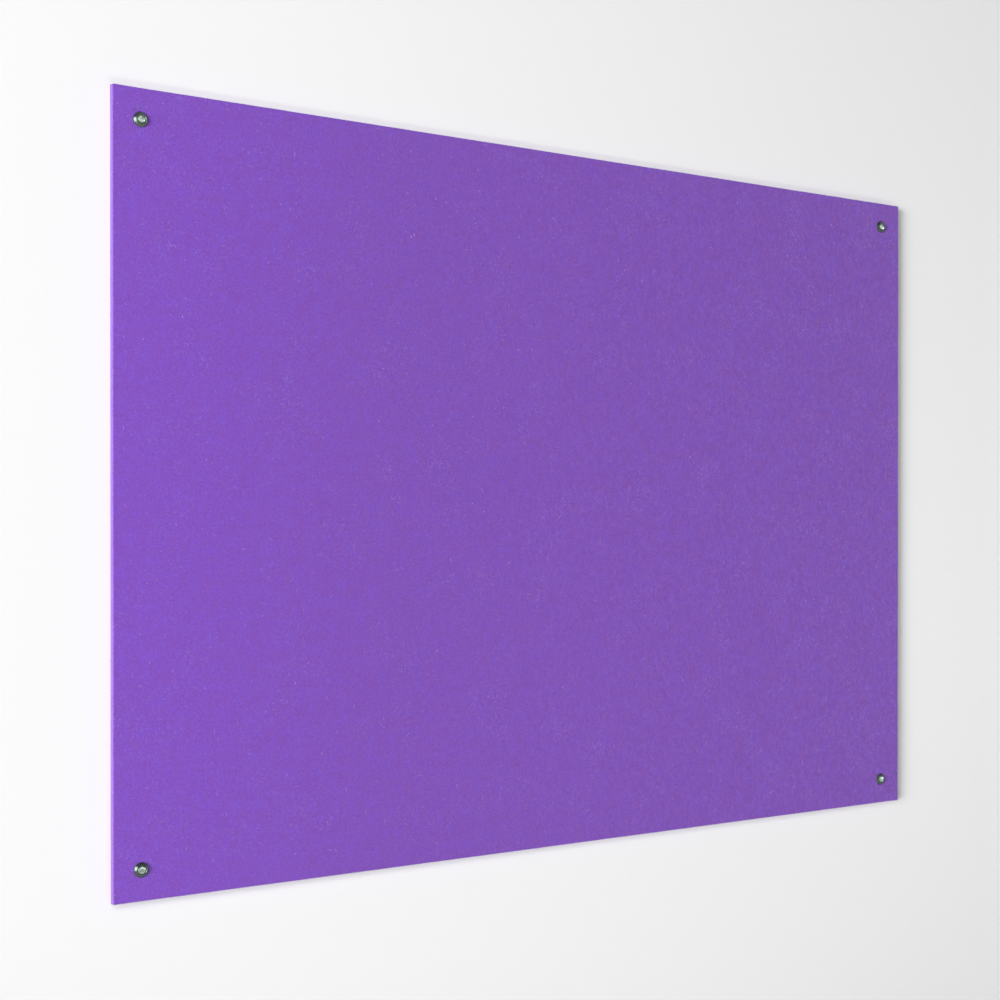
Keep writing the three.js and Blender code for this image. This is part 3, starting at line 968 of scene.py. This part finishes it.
def screw_thread():
    """A helical ridge that runs out at both ends."""
    tip = HEAD_EDGE - SCREW_LENGTH
    count = round((SCREW_THREAD_LENGTH - THREAD_START) / SCREW_PITCH * THREAD_STEPS)
    rings = []
    for step in range(count + 1):
        angle = 2 * math.pi * step / THREAD_STEPS
        height = tip + THREAD_START + SCREW_PITCH * step / THREAD_STEPS
        root = SCREW_ROOT_RADIUS * min((height - tip) / SCREW_POINT, 1)
        share = min(1, step / THREAD_STEPS, (count - step) / THREAD_STEPS)
        rise = THREAD_END_SHARE + (1 - THREAD_END_SHARE) * share
        crest = root + (SCREW_RADIUS - SCREW_ROOT_RADIUS) * rise
        foot = root * THREAD_ROOT_SHARE
        ring = []
        for radius, lift in ((foot, -THREAD_FOOT), (crest, 0), (foot, THREAD_FOOT)):
            ring.append((radius * math.cos(angle), FRONT - height - lift, radius * math.sin(angle)))
        rings.append(ring)
    return add_object("thread", swept("thread", rings))


def drawn_in(value, short):
    return value * RECESS_FLOOR_SHARE if abs(value) > short else value


def recess_cutter():
    """A cross with a round hub, whose walls draw in towards its floor."""
    long, short = RECESS_WIDTH / 2, RECESS_WING / 2
    cross = [(long, -short), (long, short), (short, short), (short, long), (-short, long), (-short, short)]
    cross += [(-x, -z) for x, z in cross]
    narrow = [(drawn_in(x, short), drawn_in(z, short)) for x, z in cross]
    top = HEAD_EDGE + HEAD_LAND + HEAD_RISE
    above, floor = top + OVERRUN, top - HUB_DEPTH
    rings = []
    for outline, height in ((cross, above), (cross, top), (narrow, top - RECESS_DEPTH)):
        rings.append([(x, FRONT - height, z) for x, z in outline])
    hub = [(0, floor), (HUB_FLOOR_RADIUS, floor), (HUB_RADIUS, top), (HUB_RADIUS, above), (0, above)]
    wings = add_object("recess", swept("recess", rings))
    return combine(wings, add_object("hub", lathe("hub", hub, HUB_SIDES, FRONT)), "UNION")


def screw_shape():
    screw = combine(screw_blank(), screw_thread(), "UNION")
    combine(screw, recess_cutter())
    smooth(screw.data, 35)
    shape = screw.data
    bpy.data.objects.remove(screw)
    return shape


# Wall plugs
PLUG_LENGTH = 30 * MM
PLUG_BORE_RADIUS = 2.3 * MM
PLUG_RADIUS = 3.1 * MM
PLUG_COLLAR_RADIUS = 4.3 * MM
PLUG_COLLAR_THICKNESS = 0.9 * MM
PLUG_NECK = 6 * MM
PLUG_TAPER = 2.5 * MM
PLUG_SLIT = 0.9 * MM
PLUG_RIB_DEPTH = 0.3 * MM
PLUG_TIP_WALL = 0.32 * MM
PLUG_EASE = 0.15 * MM
PLUG_RIBS = 5
PLUG_SIDES = 48


def plug_shape():
    """A ribbed wall plug, open at both ends and split from its neck to its end."""
    soft = PLUG_EASE
    pitch = (PLUG_LENGTH - PLUG_TAPER - PLUG_NECK) / PLUG_RIBS
    profile = [(PLUG_BORE_RADIUS, 0), (PLUG_COLLAR_RADIUS - soft, 0), (PLUG_COLLAR_RADIUS, -soft)]
    profile += [(PLUG_COLLAR_RADIUS, soft - PLUG_COLLAR_THICKNESS)]
    profile += [(PLUG_COLLAR_RADIUS - soft, -PLUG_COLLAR_THICKNESS), (PLUG_RADIUS, -PLUG_COLLAR_THICKNESS)]
    for rib in range(PLUG_RIBS):
        start = PLUG_NECK + rib * pitch
        profile += [(PLUG_RADIUS, soft - start), (PLUG_RADIUS - soft / 2, -start)]
        profile += [(PLUG_RADIUS - PLUG_RIB_DEPTH, -start - soft / 2)]
    profile += [(PLUG_RADIUS, PLUG_TAPER - PLUG_LENGTH), (PLUG_BORE_RADIUS + PLUG_TIP_WALL, -PLUG_LENGTH)]
    profile += [(PLUG_BORE_RADIUS, -PLUG_LENGTH), (PLUG_BORE_RADIUS, 0)]
    plug = add_object("plug_model", lathe("plug", profile, PLUG_SIDES, BACK, 35))
    slit = box_points(2 * (PLUG_RADIUS + OVERRUN), BACK + PLUG_NECK, BACK + PLUG_LENGTH + OVERRUN, PLUG_SLIT)
    combine(plug, add_object("slit", mesh_from("slit", slit, BOX_FACES)))
    smooth(plug.data, 35)
    shape = plug.data
    bpy.data.objects.remove(plug)
    return shape


# Stray fibres of the felt
FIBRE_SEED = 7
FIBRE_SCALES = (0.5, 1.3)
PULL_REACH = 7 * MM
FUZZ_REACH = 1.1 * CORNER_RADIUS

# Ranges of noise and of distance from the board's middle, and the shares of fibres at their ends
FIBRE_CLUSTERING = {1: 0.42, 2: 0.62, 3: 0.15, 4: 1.6}
FIBRE_CROWDING = {1: 0.3, 2: HALF_WIDTH, 3: 0.8, 4: 1.7}

# Start, middle and end of each kind of fibre, as shares of its length and of its rise
FIBRE_SHAPE_SHARES = (
    ((-0.5, 0.0, -0.4), (0.0, 0.25, 2.0), (0.5, 0.0, -0.4)),
    ((-0.45, 0.1, -0.4), (0.15, 0.55, 1.6), (0.4, -0.15, -0.2)),
    ((-0.5, -0.1, -0.3), (0.1, 0.1, 1.2), (0.5, 0.15, 0.5)),
    ((-0.3, 0.2, -0.4), (0.3, 0.5, 2.2), (0.3, -0.35, 0.1)),
    ((-0.4, 0.0, 0.0), (-0.1, -0.4, 2.6), (0.45, 0.1, -0.4)),
)


def fibre_shapes(tree):
    """One curved fibre of each kind, as instances to pick from."""
    given = tree.given
    radius = tree.math("MULTIPLY", given["Thickness"], 0.5)
    section = tree.step("GeometryNodeCurvePrimitiveCircle", {"Resolution": 3, "Radius": radius})
    join = tree.node("GeometryNodeJoinGeometry")
    for shares in FIBRE_SHAPE_SHARES:
        places = []
        for across, along, rise in shares:
            x = tree.math("MULTIPLY", given["Length"], across)
            y = tree.math("MULTIPLY", given["Length"], along)
            z = tree.math("MULTIPLY", given["Rise"], rise)
            places.append(tree.step("ShaderNodeCombineXYZ", {"X": x, "Y": y, "Z": z}))
        values = {"Resolution": 3, "Start": places[0], "Middle": places[1], "End": places[2]}
        line = tree.step("GeometryNodeCurveQuadraticBezier", values)
        values = {"Curve": line, "Profile Curve": section, "Fill Caps": True}
        strand = tree.step("GeometryNodeCurveToMesh", values)
        tree.link(tree.step("GeometryNodeGeometryToInstance", {0: strand}), join.inputs[0])
    return join.outputs[0]


def fibre_tree():
    """Scatters curled fibres over a surface, in loose clusters and more of them towards its ends."""
    tree = Maker(
        "stray_fibres", Surface="Geometry", Density="Float", Length="Float", Thickness="Float",
        Rise="Float", Clusters="Float", Seed="Int", Finish="Material",
    )
    given = tree.given
    cloud = tree.step("ShaderNodeTexNoise", {"Scale": given["Clusters"], "Detail": 3.0, "Roughness": 0.65})
    clusters = tree.step("ShaderNodeMapRange", {0: cloud, **FIBRE_CLUSTERING})
    outwards = tree.math("ABSOLUTE", tree.axis(tree.step("GeometryNodeInputPosition", {}), "X"))
    near_ends = tree.step("ShaderNodeMapRange", {0: outwards, **FIBRE_CROWDING})
    density = tree.math("MULTIPLY", given["Density"], tree.math("MULTIPLY", clusters, near_ends))
    scatter = tree.node("GeometryNodeDistributePointsOnFaces", distribute_method="RANDOM")
    tree.fill(scatter, {"Mesh": given["Surface"], "Density": density, "Seed": given["Seed"]})
    values = {
        "Points": scatter.outputs["Points"],
        "Instance": fibre_shapes(tree),
        "Pick Instance": True,
        "Instance Index": tree.random(0, len(FIBRE_SHAPE_SHARES) - 1, 1, "INT"),
        "Rotation": scatter.outputs["Rotation"],
        "Scale": tree.random(*FIBRE_SCALES, 2),
    }
    copies = tree.step("GeometryNodeInstanceOnPoints", values)
    spin = tree.step("ShaderNodeCombineXYZ", {"Z": tree.random(0.0, 2 * math.pi, 3)})
    copies = tree.step("GeometryNodeRotateInstances", {"Instances": copies, "Rotation": spin})
    values = {"Geometry": copies, "Name": "fibre_tone", "Value": tree.random(0.0, 1.0, 4)}
    tree.finish(tree.step("GeometryNodeStoreNamedAttribute", values, data_type="FLOAT", domain="INSTANCE"))
    return tree


FIBRES = fibre_tree()


def on_front_and_edges(point):
    return point.y < BACK - BEND_RADIUS


def on_front_bends(point):
    inset = min(HALF_WIDTH - abs(point.x), HALF_HEIGHT - abs(point.z))
    return inset < FUZZ_REACH and point.y < FRONT + BEND_RADIUS


def round_a_washer(point):
    """Whether a point is on the felt that a washer pulls in."""
    reaches = [math.hypot(point.x - x, point.z - z) for x, z in FIXINGS.values()]
    return point.y < FRONT / 2 and WASHER_RADIUS < min(reaches) < WASHER_RADIUS + PULL_REACH


# Name, place, fibres per square metre, length, thickness, rise and scale of the clusters
FIBRE_LAYERS = (
    ("felt_nap", on_front_and_edges, 9000.0, 4.5 * MM, 0.17 * MM, 0.18 * MM, 14.0),
    ("felt_lint", on_front_and_edges, 1200.0, 2.4 * MM, 0.4 * MM, 0.1 * MM, 9.0),
    ("felt_fuzz", on_front_bends, 1000000.0, 1.7 * MM, 0.09 * MM, 0.6 * MM, 30.0),
    ("felt_pulls", round_a_washer, 60000.0, 4.0 * MM, 0.22 * MM, 0.3 * MM, 60.0),
)


def cover_part(name, shown):
    """The part of the cover's outer surface where a test of its points holds."""
    points, faces, _ = make_outer_surface()
    kept = [face for face in faces if all(shown(points[index]) for index in face)]
    piece = add_object(name, mesh_from(name, points, kept))
    bm = bmesh.new()
    bm.from_mesh(piece.data)
    bmesh.ops.delete(bm, geom=[vertex for vertex in bm.verts if not vertex.link_faces])
    bm.to_mesh(piece.data)
    bm.free()
    return piece


def make_fibres(seed, finish, name, shown, density, length, thickness, rise, clusters):
    """One layer of stray fibres on a part of the cover."""
    return FIBRES.run(
        cover_part(name, shown), Seed=seed, Finish=finish, Density=density, Length=length,
        Thickness=thickness, Rise=rise, Clusters=clusters,
    )


# Dressing of the part
def dress(piece, material, slot, *nodes):
    """Gives a finished piece its material, its body and the nodes that it stands for."""
    piece.data.materials.clear()
    piece.data.materials.append(material)
    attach(piece, "root")
    if nodes:
        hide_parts(*nodes)


def four(kind):
    return [f"{kind}_{corner}" for corner in CORNERS]


def dress_felt():
    cover = make_cover()
    dress(cover, felt_finish(), "felt", "felt_cover")
    finish = fibre_finish()
    for step, layer in enumerate(FIBRE_LAYERS):
        dress(make_fibres(FIBRE_SEED + step, finish, *layer), finish, "felt")


def dress_fixings():
    upright = [(x, z, 0.0) for x, z in FIXINGS.values()]
    turned = [(*FIXINGS[corner], RECESS_TURNS[corner]) for corner in CORNERS]
    nickel = metal_finish("washer_nickel", NICKEL, roughness=(0.22, 0.34))
    zinc = metal_finish("screw_zinc", ZINC, roughness=(0.22, 0.32))
    wire = metal_finish("staple_wire", WIRE, roughness=(0.25, 0.45))
    nylon = nylon_finish()
    for name, shape, places, finish, slot, nodes in (
        ("washers", washer_shape(), upright, nickel, "washer_nickel", four("cup_washer")),
        ("screws", screw_shape(), turned, zinc, "screw_zinc", four("screw")),
        ("wall_plugs", plug_shape(), upright, nylon, "plug_nylon", four("wall_plug")),
        ("staples", staple_shape(), STAPLES, wire, "staple_wire", staple_nodes()),
    ):
        dress(make_copies(name, shape, places, finish), finish, slot, *nodes)


def dress_core():
    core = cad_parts["core_board"]
    core.data.materials.clear()
    core.data.materials.append(softboard_finish())


make_camera()
make_wall()
make_floor()
make_light()
dress_felt()
dress_fixings()
dress_core()
bpy.context.scene.view_settings.view_transform = "Standard"
